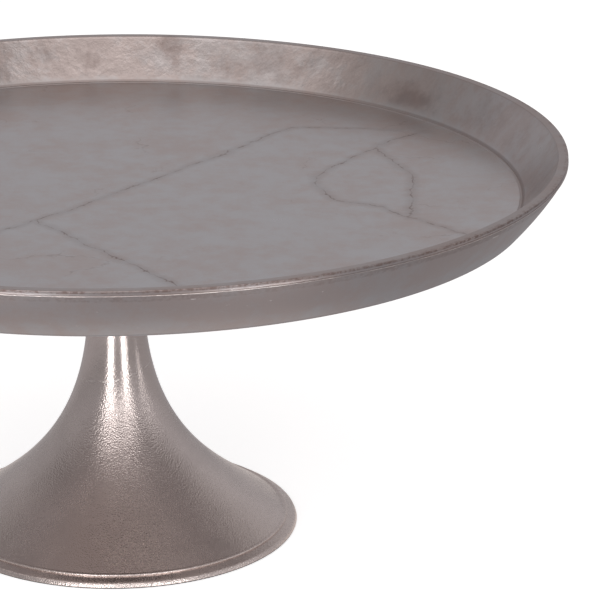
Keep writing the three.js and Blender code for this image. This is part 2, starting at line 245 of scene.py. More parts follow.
class Recipe:
    """A material with one Principled shader, built node by node."""

    def __init__(self, name, **constants):
        self.material = bpy.data.materials.new(name)
        self.material.use_nodes = True
        self.tree = self.material.node_tree
        self.shader = self.tree.nodes["Principled BSDF"]
        for socket, value in constants.items():
            self.shader.inputs[socket.replace("_", " ")].default_value = value
        self.place = self.add("ShaderNodeTexCoord", output="Object")

    def add(self, kind, settings=None, inputs=None, output=0):
        node = self.tree.nodes.new(kind)
        for key, value in (settings or {}).items():
            setattr(node, key, value)
        for key, value in (inputs or {}).items():
            feed(self.tree, node.inputs[key], value)
        return Wire(self.tree, node.outputs[output])

    def vector(self, operation, *terms, output=0):
        inputs = {i: term for i, term in enumerate(terms)}
        return self.add("ShaderNodeVectorMath", {"operation": operation}, inputs, output)

    def scaled(self, vector, factor):
        return self.add("ShaderNodeVectorMath", {"operation": "SCALE"}, {0: vector, "Scale": factor})

    def stretched(self, x, y, z):
        """Object coordinates scaled unevenly, so that a pattern runs out along an axis."""
        return self.vector("MULTIPLY", self.place, (x, y, z))

    def noise(self, scale, detail=3.0, roughness=0.55, at=None, output="Fac"):
        inputs = {"Vector": at or self.place, "Scale": scale, "Detail": detail, "Roughness": roughness}
        return self.add("ShaderNodeTexNoise", None, inputs, output)

    def cells(self, scale, at=None, feature="F1"):
        inputs = {"Vector": at or self.place, "Scale": scale}
        return self.add("ShaderNodeTexVoronoi", {"feature": feature}, inputs, "Distance")

    def split(self, vector):
        node = self.tree.nodes.new("ShaderNodeSeparateXYZ")
        feed(self.tree, node.inputs[0], vector)
        return [Wire(self.tree, socket) for socket in node.outputs]

    def step(self, value, low, high, to_low=0.0, to_high=1.0):
        """Goes smoothly from to_low to to_high as value goes from low to high."""
        inputs = {"Value": value, "From Min": low, "From Max": high, "To Min": to_low, "To Max": to_high}
        return self.add("ShaderNodeMapRange", {"interpolation_type": "SMOOTHSTEP"}, inputs)

    def mix(self, factor, first, second, blend="MIX"):
        node = self.tree.nodes.new("ShaderNodeMix")
        node.data_type = "RGBA"
        node.blend_type = blend
        colours = [socket for socket in node.inputs if socket.type == "RGBA"]
        feed(self.tree, node.inputs[0], factor)
        for socket, colour in zip(colours, (first, second)):
            feed(self.tree, socket, colour if isinstance(colour, Wire) else (*colour, 1.0))
        return Wire(self.tree, next(socket for socket in node.outputs if socket.type == "RGBA"))

    def bump(self, height, distance, strength=1.0, under=None):
        inputs = {"Height": height, "Distance": distance, "Strength": strength}
        if under:
            inputs["Normal"] = under
        return self.add("ShaderNodeBump", None, inputs)

    def finish(self, **wires):
        for socket, wire in wires.items():
            feed(self.tree, self.shader.inputs[socket.replace("_", " ")], wire)
        return self.material


# ---- Materials -------------------------------------------------------------------------


def radius_of(recipe):
    flat = recipe.vector("MULTIPLY", recipe.place, (1, 1, 0))
    return recipe.vector("LENGTH", flat, output="Value")


def lap_distance(recipe, start, end, at):
    """Distance in metres from a straight lap between two points, level with the floor."""
    start = Vector((*start, 0)) * MM
    along = Vector((*end, 0)) * MM - start
    offset = recipe.vector("SUBTRACT", at, start[:])
    share = recipe.vector("DOT_PRODUCT", offset, (along / along.length_squared)[:], output="Value")
    nearest = recipe.add(
        "ShaderNodeVectorMath", {"operation": "SCALE"}, {0: along[:], "Scale": share.clamped()}
    )
    return recipe.vector("DISTANCE", offset, nearest, output="Value")


def floor_laps(recipe):
    """Distance from the nearest leaf lap on the tray floor, wavy as leaf laid by hand is."""
    wander = recipe.noise(26, detail=4, roughness=0.6, output="Color")
    flat = recipe.vector("MULTIPLY", recipe.place, (1, 1, 0))
    shift = recipe.vector("MULTIPLY_ADD", wander, (22 * MM, 22 * MM, 0), (-11 * MM, -11 * MM, 0))
    at = recipe.vector("ADD", flat, shift)
    distance = None
    for lap in FLOOR_LAPS:
        for start, end in zip(lap, lap[1:]):
            piece = lap_distance(recipe, start, end, at)
            distance = piece if distance is None else distance.smaller(piece)
    return distance


def sheet_zones(recipe, size):
    """Masks for the parts of the tray, and the noises that its marks share."""
    zone = SimpleNamespace()
    zone.radius = radius_of(recipe)
    zone.across, _, zone.height = recipe.split(recipe.place)
    zone.blotches = recipe.noise(48, detail=4, roughness=0.6)
    zone.flecks = recipe.noise(340, detail=2)
    zone.speckle = recipe.noise(260, detail=3)
    zone.clouds = recipe.noise(11, detail=5, roughness=0.62)

    # Distance out from a line that leans with the inner wall, which tells inside from outside
    lean = (size.tray_radius - size.lip_width - size.floor_radius) / (PAN_HIGH.z - size.floor_height)
    wall_start = size.floor_radius - lean * size.floor_height
    out_from_wall = zone.radius - zone.height * lean
    zone.inside = recipe.step(out_from_wall, wall_start + 5 * MM, wall_start + 3 * MM)
    zone.above_floor = recipe.step(zone.height, size.floor_height + 1 * MM, size.floor_height + 9 * MM)
    zone.on_wall = zone.above_floor * zone.inside
    zone.on_floor = recipe.step(zone.radius, size.floor_radius - 4 * MM, size.floor_radius, 1.0, 0.0)
    zone.on_floor *= recipe.step(zone.height, size.floor_height - 5 * MM, size.floor_height - 3 * MM)
    zone.outside = recipe.step(out_from_wall, wall_start + 7 * MM, wall_start + 9 * MM)
    zone.outside *= recipe.step(zone.radius, UNDERSIDE_EDGE - 1 * MM, UNDERSIDE_EDGE + 1 * MM)
    # Painted shade: a ramp towards +X that widens the clay on the outer edge, adds clay on the lip and
    # dims the bead's bright metal
    zone.to_right = recipe.step(zone.across, 120 * MM, 340 * MM)
    return zone


def floor_marks(recipe, zone):
    """Clay seen in the laps on the floor, and in a few stray cracks."""
    lap = floor_laps(recipe)
    broken = recipe.step(zone.blotches, 0.4, 0.58, 0.35, 1.0)
    hairline = recipe.step(lap, 0.2 * MM, 1.1 * MM, 1.0, 0.0) * broken
    knots = recipe.step(lap, 0.8 * MM, 3.5 * MM, 1.0, 0.0)
    knots *= recipe.step(zone.blotches * zone.speckle, 0.3, 0.38)
    halo = recipe.step(lap, 1 * MM, 10 * MM, 0.14, 0.0)
    bent = recipe.vector("ADD", recipe.place, recipe.scaled(recipe.noise(30, output="Color"), 50 * MM))
    crack = recipe.step(recipe.cells(5.5, bent, "DISTANCE_TO_EDGE"), 0.001, 0.006, 1.0, 0.0)
    crack = crack * recipe.step(zone.clouds, 0.5, 0.62) * 0.22
    return (hairline * 0.62).larger(knots * 0.7).larger(halo).larger(crack) * zone.on_floor


def wall_marks_and_shade(recipe, zone, size):
    """Smoky patches and upright streaks on the inner wall, one stain, and painted shade along the crease
    at the wall foot.
    """
    smoke = recipe.step(recipe.noise(19, detail=5, roughness=0.65), 0.46, 0.68, 0.0, 0.12)
    mottle = recipe.step(zone.blotches * 0.6 + zone.speckle * 0.4, 0.45, 0.62, 0.0, 0.08)
    streaks = recipe.noise(24, detail=4, roughness=0.6, at=recipe.stretched(1, 1, 0.12))
    fading = recipe.step(zone.across, 100 * MM, 300 * MM, 1.0, 0.25)
    smoke = smoke + recipe.step(streaks, 0.5, 0.68, 0.0, 0.3) * fading

    away = recipe.vector("SUBTRACT", recipe.place, WALL_STAIN)
    along = recipe.vector("DOT_PRODUCT", away, WALL_STAIN_RUN, output="Value")
    above = recipe.split(away)[2]
    distance = (along * along * 0.4 + above * above) ** 0.5 + (zone.blotches - 0.5) * (30 * MM)
    stain = recipe.step(distance, 0.0, 18 * MM, 0.58, 0.0)

    # Painted shade: clay colour along the crease where the inner wall meets the floor
    above_foot = zone.height.distance_from(size.floor_height + 0.5 * MM)
    wall_foot = recipe.step(above_foot, 1 * MM, 3 * MM, 0.45, 0.0) * zone.inside
    wall_foot *= recipe.step(zone.radius, size.floor_radius - 4 * MM, size.floor_radius - 2 * MM)
    return ((smoke + mottle).larger(stain) * zone.on_wall).larger(wall_foot)


def edge_marks_and_shade(recipe, zone, size, worn):
    """Clay along the lip's outer edge, on the lip, and beside the bead, with painted shade towards +X,
    where the edge band widens and the lip gets more clay.
    """
    edge = size.tray_radius
    bead_height = PAN_HIGH.z - size.band_height
    # Painted shade: the clay band on the outer edge widens towards +X
    outer = recipe.step(zone.radius + zone.to_right * (2.5 * MM), edge - 2.4 * MM, edge - 1.1 * MM)
    below_top = zone.height.distance_from(PAN_HIGH.z - 1.2 * MM)
    corner = recipe.step(below_top, 0.8 * MM, 1.8 * MM, 1.0, 0.0) * outer
    by_bead = zone.height.distance_from(bead_height - 2 * MM)
    beside_bead = recipe.step(by_bead, 2 * MM, 6 * MM, 0.4, 0.0) * zone.outside
    lip_top = recipe.step(zone.height, PAN_HIGH.z - 1 * MM, PAN_HIGH.z - 0.4 * MM)
    # Painted shade: the lip gets more clay towards +X
    lip_top *= zone.to_right * 0.15 + 0.2
    return ((corner * 0.8).larger(beside_bead) * worn).larger(lip_top)


def bare_spots_and_highlight(recipe, zone, size, worn):
    """Bright metal on the bead, partly rubbed wear and partly a painted highlight, and in small nicks on
    the outside.
    """
    edge = size.tray_radius
    bead_height = PAN_HIGH.z - size.band_height
    # Painted highlight: a thin line of bright metal along the bead, broken up by rubbed wear
    on_bead = zone.height.distance_from(bead_height + 0.6 * MM)
    bead = recipe.step(on_bead, 0.5 * MM, 0.9 * MM, 1.0, 0.0)
    bead *= recipe.step(zone.radius, edge - 0.6 * MM, edge - 0.3 * MM)
    rubbed = recipe.step(zone.speckle * 0.4 + zone.blotches * 0.6, 0.42, 0.6, 0.15, 1.0)
    below_bead = zone.height.distance_from(bead_height - 5.5 * MM)
    scuffs = recipe.step(below_bead, 0.4 * MM, 0.8 * MM, 1.0, 0.0)
    scuffs = scuffs * recipe.step(zone.blotches, 0.62, 0.66) * worn
    nicks = recipe.step(recipe.noise(150, detail=4, roughness=0.7), 0.69, 0.73)
    # The bead's painted highlight dims towards +X as painted shade; the nicks and scuffs are wear
    return (bead * rubbed * (1 - zone.to_right * 0.6)).larger(nicks.larger(scuffs) * zone.outside)


def leafed_sheet():
    """Silver leaf over red clay on the tray: mottled, with laps, cracks and rubbed edges, and with
    painted shade, a painted highlight and a painted warm reflection.
    """
    colours = finish_colours()
    size = sizes()
    recipe = Recipe("leafed_sheet", Metallic=1.0, Coat_Weight=0.12, Coat_Roughness=0.3)
    zone = sheet_zones(recipe, size)
    mottling = zone.clouds * 0.5 + zone.blotches * 0.38 + zone.flecks * 0.12
    # The random mottling is the leaf's own tone; the step above the floor's level is a painted warm
    # reflection on the wall, the lip and the upper apron
    warmth = (recipe.step(mottling, 0.4, 0.64) + zone.above_floor * 0.4).clamped()
    leaf = recipe.mix(warmth, colours.cool_leaf, colours.warm_leaf)

    worn = recipe.step(zone.speckle * 0.6 + zone.blotches * 0.4, 0.42, 0.6, 0.5, 1.0)
    marks_and_shade = floor_marks(recipe, zone).larger(wall_marks_and_shade(recipe, zone, size))
    marks_and_shade = marks_and_shade.larger(zone.outside * 0.12).larger(edge_marks_and_shade(recipe, zone, size, worn))
    bare_and_highlight = bare_spots_and_highlight(recipe, zone, size, worn).clamped()
    # Clay colour: laps, cracks, stains and wear, and painted shade at the wall foot and towards +X
    colour = recipe.mix(marks_and_shade.clamped(), leaf, colours.clay)
    # Bright metal: wear in nicks and scuffs, and a painted highlight along the bead
    colour = recipe.mix(bare_and_highlight, colour, colours.bare_metal_and_highlight)
    roughness = 0.22 + zone.clouds * 0.08 + zone.blotches * 0.08 + marks_and_shade * 0.25 - bare_and_highlight * 0.1

    wrinkles = recipe.noise(34, detail=5, roughness=0.62, at=recipe.stretched(1, 1, 0.8))
    crinkle = zone.on_wall * recipe.step(zone.across, 0.0, 300 * MM, 0.5, 0.26) + 0.06
    soft = recipe.bump(recipe.noise(14, detail=2), 1.2 * MM, 0.35)
    crinkled = recipe.bump(wrinkles, 2.5 * MM, crinkle, soft)
    normal = recipe.bump(zone.flecks, 0.12 * MM, 0.3, crinkled)
    return recipe.finish(Base_Color=colour, Roughness=roughness, Normal=normal)


def leafed_casting():
    """Leaf over sand-cast brass: a fine grain that breaks up highlights."""
    colours = finish_colours()
    recipe = Recipe("leafed_casting", Metallic=1.0, Coat_Weight=0.1, Coat_Roughness=0.2)
    across, _, height = recipe.split(recipe.place)
    clouds = recipe.noise(16, detail=4)
    grain = recipe.noise(760, detail=1.5)
    pits = recipe.cells(620)
    crumple = recipe.noise(150, detail=3, roughness=0.55)
    as_cast = recipe.step(height, 110 * MM, 190 * MM, 1.0, 0.0)
    darker = [c * 0.9 for c in colours.casting_leaf]
    colour = recipe.mix(recipe.step(clouds, 0.35, 0.65), darker, colours.casting_leaf)
    colour = recipe.mix(recipe.step(grain, 0.3, 0.55, 0.1, 0.0), colour, colours.clay)

    # One raised lap of leaf round the neck
    lap_height = across * NECK_LAP_RISE + NECK_LAP_HEIGHT + (clouds - 0.5) * (12 * MM)
    lap = recipe.step(height.distance_from(lap_height), 0.3 * MM, 0.9 * MM, 1.0, 0.0)
    lap = lap * recipe.step(crumple, 0.4, 0.55)
    colour = recipe.mix(lap * 0.4, colour, colours.bare_metal_and_highlight)

    roughness = 0.13 + clouds * 0.06 + grain * 0.04 + as_cast * 0.09 + lap * 0.2
    waves = recipe.bump(recipe.noise(60, detail=2), 0.8 * MM, 0.12)
    dimpled = recipe.bump(crumple, 0.5 * MM, 0.1, waves)
    normal = recipe.bump(grain * 0.5 + pits * 0.5, 0.7 * MM, 0.2 + as_cast * 0.4, dimpled)
    return recipe.finish(Base_Color=colour, Roughness=roughness, Normal=normal)


def black_rubber():
    recipe = Recipe("black_rubber", Specular_IOR_Level=0.3)
    speckle = recipe.noise(900, detail=2)
    colour = recipe.mix(speckle, (0.012, 0.012, 0.012), (0.03, 0.029, 0.028))
    return recipe.finish(
        Base_Color=colour,
        Roughness=0.75 + speckle * 0.15,
        Normal=recipe.bump(speckle, 0.1 * MM, 0.4),
    )


def black_powder_coat():
    recipe = Recipe("black_powder_coat", Specular_IOR_Level=0.5)
    peel = recipe.noise(700, detail=2)
    colour = recipe.mix(recipe.noise(12), (0.02, 0.02, 0.021), (0.032, 0.031, 0.031))
    return recipe.finish(
        Base_Color=colour,
        Roughness=0.5 + peel * 0.12,
        Normal=recipe.bump(peel, 0.15 * MM, 0.35),
    )


def zinc_plate():
    recipe = Recipe("zinc_plate", Metallic=1.0)
    bloom = recipe.noise(90, detail=4)
    lathe_lines = recipe.noise(1400, detail=2, at=recipe.stretched(0.15, 0.15, 1))
    colour = recipe.mix(bloom, (0.50, 0.51, 0.53), (0.66, 0.66, 0.64))
    return recipe.finish(
        Base_Color=colour,
        Roughness=0.26 + bloom * 0.16,
        Normal=recipe.bump(lathe_lines, 0.06 * MM, 0.4),
    )


def raw_iron():
    recipe = Recipe("raw_iron", Metallic=0.85)
    scale = recipe.noise(160, detail=5, roughness=0.65)
    rust = recipe.step(recipe.noise(22, detail=4), 0.55, 0.7)
    colour = recipe.mix(scale, (0.05, 0.05, 0.052), (0.13, 0.125, 0.12))
    colour = recipe.mix(rust * 0.5, colour, (0.16, 0.075, 0.04))
    return recipe.finish(
        Base_Color=colour,
        Roughness=0.6 + scale * 0.25,
        Normal=recipe.bump(scale, 0.6 * MM, 0.5),
    )


def birch_ply():
    recipe = Recipe("birch_ply")
    grain = recipe.noise(45, detail=5, roughness=0.6, at=recipe.stretched(0.12, 1, 1))
    plies = recipe.add(
        "ShaderNodeTexWave",
        {"bands_direction": "Z"},
        {"Vector": recipe.place, "Scale": 220.0, "Distortion": 0.4},
        "Fac",
    )
    colour = recipe.mix(grain, (0.36, 0.22, 0.12), (0.62, 0.45, 0.28))
    colour = recipe.mix(plies * 0.35, colour, (0.28, 0.16, 0.085))
    return recipe.finish(
        Base_Color=colour,
        Roughness=0.6 + grain * 0.2,
        Normal=recipe.bump(grain, 0.2 * MM, 0.4),
    )


def black_nylon():
    recipe = Recipe("black_nylon", Specular_IOR_Level=0.5)
    haze = recipe.noise(300, detail=3)
    colour = recipe.mix(haze, (0.016, 0.016, 0.017), (0.035, 0.035, 0.036))
    return recipe.finish(
        Base_Color=colour,
        Roughness=0.42 + haze * 0.15,
        Normal=recipe.bump(haze, 0.08 * MM, 0.3),
    )


MATERIAL_MAKERS = {
    "leafed_sheet": leafed_sheet,
    "leafed_casting": leafed_casting,
    "plywood": birch_ply,
    "black_steel": black_powder_coat,
    "zinc_steel": zinc_plate,
    "cast_iron": raw_iron,
    "rubber": black_rubber,
    "black_plastic": black_nylon,
}
made_materials = {}


def material_for(slot):
    if slot not in made_materials:
        made_materials[slot] = MATERIAL_MAKERS[slot]()
    return made_materials[slot]


# ---- Modelling helpers -----------------------------------------------------------------


def deselect():
    if bpy.context.object and bpy.context.object.mode != "OBJECT":
        bpy.ops.object.mode_set(mode="OBJECT")
    bpy.ops.object.select_all(action="DESELECT")


def arc(centre, radii, start, end, steps):
    """Points of an ellipse arc between two angles in degrees, in a profile's radius and height."""
    turn = [math.radians(start + (end - start) * i / steps) for i in range(steps + 1)]
    return [(centre[0] + radii[0] * math.cos(t), centre[1] + radii[1] * math.sin(t)) for t in turn]


def level_run(start, end, steps):
    """Evenly spaced points from start up to, and without, end."""
    return [tuple(Vector(start).lerp(Vector(end), i / steps)) for i in range(steps)]


def turned(name, profile, facets, closed_ring):
    """Raises a ring through a profile of radius and height points, and closes it."""
    deselect()
    radius, height = profile[0]
    bpy.ops.mesh.primitive_circle_add(vertices=facets, radius=radius, location=(0, 0, height))
    piece = bpy.context.object
    piece.name = name
    bpy.ops.object.transform_apply(location=True)
    bpy.ops.object.mode_set(mode="EDIT")
    bpy.ops.mesh.select_all(action="SELECT")
    if not closed_ring:
        bpy.ops.mesh.extrude_edges_move()
        bpy.ops.mesh.merge(type="CENTER")
        bpy.ops.mesh.select_all(action="DESELECT")
        select_ring(piece, radius, height)
    path = profile[1:] + ([profile[0]] if closed_ring else [])
    for next_radius, next_height in path:
        bpy.ops.mesh.extrude_edges_move(
            TRANSFORM_OT_translate={"value": (0, 0, next_height - height)}
        )
        ratio = next_radius / radius
        bpy.ops.transform.resize(value=(ratio, ratio, 1), center_override=(0, 0, next_height))
        radius, height = next_radius, next_height
    if not closed_ring:
        bpy.ops.mesh.extrude_edges_move()
        bpy.ops.mesh.merge(type="CENTER")
    bpy.ops.mesh.select_all(action="SELECT")
    bpy.ops.mesh.remove_doubles(threshold=1e-6)
    bpy.ops.mesh.normals_make_consistent(inside=False)
    bpy.ops.object.mode_set(mode="OBJECT")
    return piece


def select_ring(piece, radius, height):
    """Selects the edges of the ring that lies at a radius and a height."""
    bpy.ops.object.mode_set(mode="OBJECT")
    for vertex in piece.data.vertices:
        off = abs(math.hypot(vertex.co.x, vertex.co.y) - radius) + abs(vertex.co.z - height)
        vertex.select = off < 1e-6
    for edge in piece.data.edges:
        edge.select = all(piece.data.vertices[v].select for v in edge.vertices)
    bpy.ops.object.mode_set(mode="EDIT")
    bpy.ops.mesh.select_mode(type="EDGE")


def smooth(piece, degrees=35):
    deselect()
    piece.select_set(True)
    bpy.context.view_layer.objects.active = piece
    bpy.ops.object.shade_smooth_by_angle(angle=math.radians(degrees))


def settle(piece, slot, body, *nodes):
    """Gives a finished piece its material and its place in the frame."""
    piece.data.materials.clear()
    piece.data.materials.append(material_for(slot))
    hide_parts(*nodes)
    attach(piece, body)


# ---- Tray ------------------------------------------------------------------------------


def make_tray_pan():
    size = sizes()
    edge = size.tray_radius
    top = PAN_HIGH.z - 0.01 * MM       # clear of rounding at the top of the piece's box
    floor = size.floor_height
    lip_inner = edge - size.lip_width
    band_bottom = top - size.band_height
    wall_foot = (size.floor_radius + 1.5 * MM, floor + 2.2 * MM)
    wall_head = (lip_inner - 1.0 * MM, top - 1.2 * MM)
    hub = 60 * MM                      # inside this radius the faces run straight to the axis
    floor_end = size.floor_radius - 6 * MM
    seam = (size.floor_radius - 1.4 * MM, floor - 0.5 * MM)
    top_side = [
        *level_run((hub, floor), (floor_end, floor), 17),
        (floor_end, floor),
        *arc(seam, (1.9 * MM, 1.4 * MM), 160, 40, 5),
        *level_run(wall_foot, wall_head, 24),
        wall_head,
        *arc((lip_inner + 0.6 * MM, top - 1.4 * MM), (1.5 * MM, 1.4 * MM), 145, 90, 4),
        (lip_inner + 4 * MM, top),
        *arc((edge - 0.9 * MM, top - 0.6 * MM), (0.6 * MM, 0.6 * MM), 90, 0, 4),
        (edge - 0.9 * MM, band_bottom + 1.15 * MM),
        *arc((edge - 0.55 * MM, band_bottom + 0.55 * MM), (0.55 * MM, 0.5 * MM), 80, -90, 7),
    ]
    under_side = [
        (edge - 1.2 * MM, band_bottom),
        (edge - size.sheet - 0.3 * MM, top - 3 * MM),
        (lip_inner + size.sheet, top - size.sheet),
        (size.floor_radius + size.sheet, floor - size.sheet),
        (hub, floor - size.sheet),
    ]
    pan = turned("tray_pan_leafed", top_side + under_side, size.facets, closed_ring=False)
    smooth(pan)
    settle(pan, "leafed_sheet", "root", "tray_pan")


def make_tray_apron():
    size = sizes()
    edge = size.tray_radius - 0.55 * MM
    top = PAN_HIGH.z - size.band_height - 0.1 * MM
    bottom = APRON_LOW.z
    corner = UNDERSIDE_EDGE - 0.4 * MM
    hem_edge = 404 * MM
    wall = 1.3 * MM
    bulge = 2 * MM
    steps = 18
    flank = []
    for i in range(steps):
        rise = 1 - i / steps
        radius = corner + (edge - corner) * rise + 4 * bulge * rise * (1 - rise)
        flank.append((radius, bottom + (top - bottom) * rise))
    outer = [*flank, *arc((corner - 0.6 * MM, bottom + 1.6 * MM), (1.6 * MM, 1.6 * MM), -20, -90, 5)]
    hem = [
        (hem_edge + 0.5 * MM, bottom),
        (hem_edge, bottom + 0.5 * MM),
        (hem_edge + 0.5 * MM, bottom + size.sheet),
    ]
    inner = [(radius - wall, max(z, bottom + size.sheet)) for radius, z in reversed(flank)]
    apron = turned("tray_apron_leafed", outer + hem + inner, size.facets, closed_ring=True)
    smooth(apron)
    settle(apron, "leafed_sheet", "root", "tray_apron")


# ---- Pedestal --------------------------------------------------------------------------


def curve_points(start, start_handle, end_handle, end, steps):
    """Points of a cubic curve in a profile's radius and height, in metres."""
    knots = [Vector((*point, 0)) for point in (start, start_handle, end_handle, end)]
    return [(p.x, p.y) for p in interpolate_bezier(*knots, steps + 1)]


def inset_points(points, distance):
    """Points moved to the left of their run by a distance."""
    moved = []
    for before, here, after in zip(points, points[1:], points[2:]):
        along = (Vector(after) - Vector(before)).normalized()
        moved.append((here[0] - along.y * distance, here[1] + along.x * distance))
    return moved


def in_metres(points):
    return [(radius * MM, height * MM) for radius, height in points]


def make_trumpet():
    size = sizes()
    neck_top = TRUMPET_HIGH.z
    edge = TRUMPET_HIGH.x
    bottom = TRUMPET_LOW.z
    flank_knots = in_metres([(168.4, 10.6), (96.4, 57.1), (34.1, 103.4)]) + [(NECK_RADIUS, neck_top)]
    flank = curve_points(*flank_knots, 70)
    foot = [
        (edge - 0.3 * MM, bottom),
        (edge, bottom + 0.4 * MM),
        (edge - 0.6 * MM, bottom + 1.9 * MM),
        (edge - 1.4 * MM, bottom + 3.6 * MM),
        (edge - 2.2 * MM, bottom + 4.5 * MM),
        (edge - 3.4 * MM, bottom + 5.1 * MM),
        (edge - 9.4 * MM, bottom + 7.3 * MM),
        *arc((170.4 * MM, 9.3 * MM), (1.8 * MM, 1.7 * MM), -30, 125, 10),
    ]
    seat = 13.6 * MM                   # height of the ledge that meets the base plate
    seat_inner, seat_outer = 148 * MM, 160 * MM
    inside = [p for p in inset_points(flank[::6], size.casting_wall) if p[0] < seat_inner - 1 * MM]
    lining = [
        (NECK_BORE, neck_top),
        *reversed(inside),
        (seat_inner, seat),
        (seat_outer, seat),
        (seat_outer, bottom),
    ]
    trumpet = turned("trumpet_casting", foot + flank + lining, size.facets, closed_ring=True)
    smooth(trumpet)
    settle(trumpet, "leafed_casting", "root", "pedestal_trumpet")


def make_capital():
    size = sizes()
    low, high = CAPITAL_LOW.z, CAPITAL_HIGH.z
    rim = CAPITAL_HIGH.x
    knots = [
        (NECK_RADIUS, low),
        (NECK_RADIUS, low + 50 * MM),
        (rim - 20 * MM, high - 26 * MM),
        (rim, high - 4 * MM),
    ]
    flare = curve_points(*knots, 32)
    lip = [
        *arc((rim - 0.8 * MM, high - 3.2 * MM), (0.8 * MM, 0.8 * MM), -60, 0, 3),
        *arc((rim - 0.8 * MM, high - 0.8 * MM), (0.8 * MM, 0.8 * MM), 0, 90, 4),
    ]
    inside = inset_points(flare[::4], size.casting_wall)
    lining = [(rim - 6 * MM, high), *reversed(inside), (NECK_BORE, low)]
    capital = turned("capital_casting", flare[:-1] + lip + lining, size.facets // 2, closed_ring=True)
    smooth(capital)
    settle(capital, "leafed_casting", "root", "pedestal_capital")


def make_foot_ring():
    """Rubber ring: an upright leg inside the foot and a thin lip under its metal edge."""
    top = RING_HIGH.z
    lip = TRUMPET_HIGH.x - 0.5 * MM
    lip_top = 0.8 * MM
    inner, outer = 153 * MM, 159.5 * MM
    rounding = 0.5 * MM
    profile = [
        (inner, 0.0),
        (lip - 0.4 * MM, 0.0),
        (lip, 0.3 * MM),
        (lip, lip_top),
        (outer, lip_top),
        (outer, top - rounding),
        (outer - rounding, top),
        (inner + rounding, top),
        (inner, top - rounding),
    ]
    ring = turned("rubber_foot_ring", profile, sizes().facets, closed_ring=True)
    smooth(ring)
    settle(ring, "rubber", "root", "foot_ring")


# ---- Small hardware --------------------------------------------------------------------


def middle(node):
    low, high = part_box(node)
    return (low + high) / 2


def placed_copies(model, nodes, slot, body_of):
    """Puts a copy of a model, made on the Z axis, in the place of each node."""
    for node in nodes:
        deselect()
        model.select_set(True)
        bpy.context.view_layer.objects.active = model
        bpy.ops.object.duplicate(linked=False)
        copy = bpy.context.object
        copy.name = node + "_fine"
        place = middle(node)
        bpy.ops.transform.translate(value=(place.x, place.y, 0))
        bpy.ops.object.transform_apply(location=True)
        smooth(copy, 40)
        settle(copy, slot, body_of(node), node)
    deselect()
    model.select_set(True)
    bpy.ops.object.delete()


def combine(piece, tool, operation="DIFFERENCE"):
    """Cuts a tool out of a piece, or joins it to the piece, and removes the tool."""
    deselect()
    piece.select_set(True)
    bpy.context.view_layer.objects.active = piece
    modifier = piece.modifiers.new("cut", "BOOLEAN")
    modifier.operation = operation
    modifier.object = tool
    modifier.solver = "EXACT"
    bpy.ops.object.modifier_apply(modifier=modifier.name)
    deselect()
    tool.select_set(True)
    bpy.ops.object.delete()


def prism(sides, radius, low, high, place=(0, 0), bevel=0.0):
    """An upright prism, bevelled where asked, to cut with or to join on."""
    deselect()
    at = (place[0], place[1], (low + high) / 2)
    bpy.ops.mesh.primitive_cylinder_add(vertices=sides, radius=radius, depth=high - low, location=at)
    piece = bpy.context.object
    bpy.ops.object.transform_apply(location=True)
    if bevel:
        bpy.ops.object.mode_set(mode="EDIT")
        bpy.ops.mesh.select_all(action="SELECT")
        bpy.ops.mesh.bevel(offset=bevel, segments=2, affect="EDGES")
        bpy.ops.object.mode_set(mode="OBJECT")
    return piece


def make_screws(nodes, slot, shank, head_height):
    """Pan head screws pointing up, each with a hexagon socket in its head."""
    low, high = (corner.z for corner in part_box(nodes[0]))
    head = shank * 1.75
    seat = low + head_height
    profile = [
        (head * 0.5, low),
        *arc((head * 0.72, low + head_height * 0.55), (head * 0.28, head_height * 0.55), -90, 0, 6),
        (head, seat - 0.3 * MM),
        (head - 0.3 * MM, seat),
        (shank, seat),
        (shank, high - 0.8 * MM),
        (shank - 0.8 * MM, high),
    ]
    screw = turned("screw_model", profile, 48, closed_ring=False)
    combine(screw, prism(6, shank * 0.75, low - 1 * MM, low + head_height * 0.55))
    placed_copies(screw, nodes, slot, lambda node: "root")


def make_flange():
    low, high = FLANGE_LOW.z, FLANGE_HIGH.z
    edge = FLANGE_HIGH.x
    hub = 60 * MM
    screw_hole = 3.5 * MM
    profile = [
        (hub, low),
        *arc((edge - 1.2 * MM, low + 1.2 * MM), (1.2 * MM, 1.2 * MM), -90, 0, 5),
        (edge, high - 0.4 * MM),
        (edge - 0.4 * MM, high),
        (hub, high),
    ]
    flange = turned("mounting_flange_fine", profile, 128, closed_ring=False)
    for number in range(1, 7):
        place = middle(f"flange_screw_{number}")
        combine(flange, prism(32, screw_hole, low - 1 * MM, high + 1 * MM, place[:2]))
    smooth(flange)
    settle(flange, "black_steel", "root", "mounting_flange")


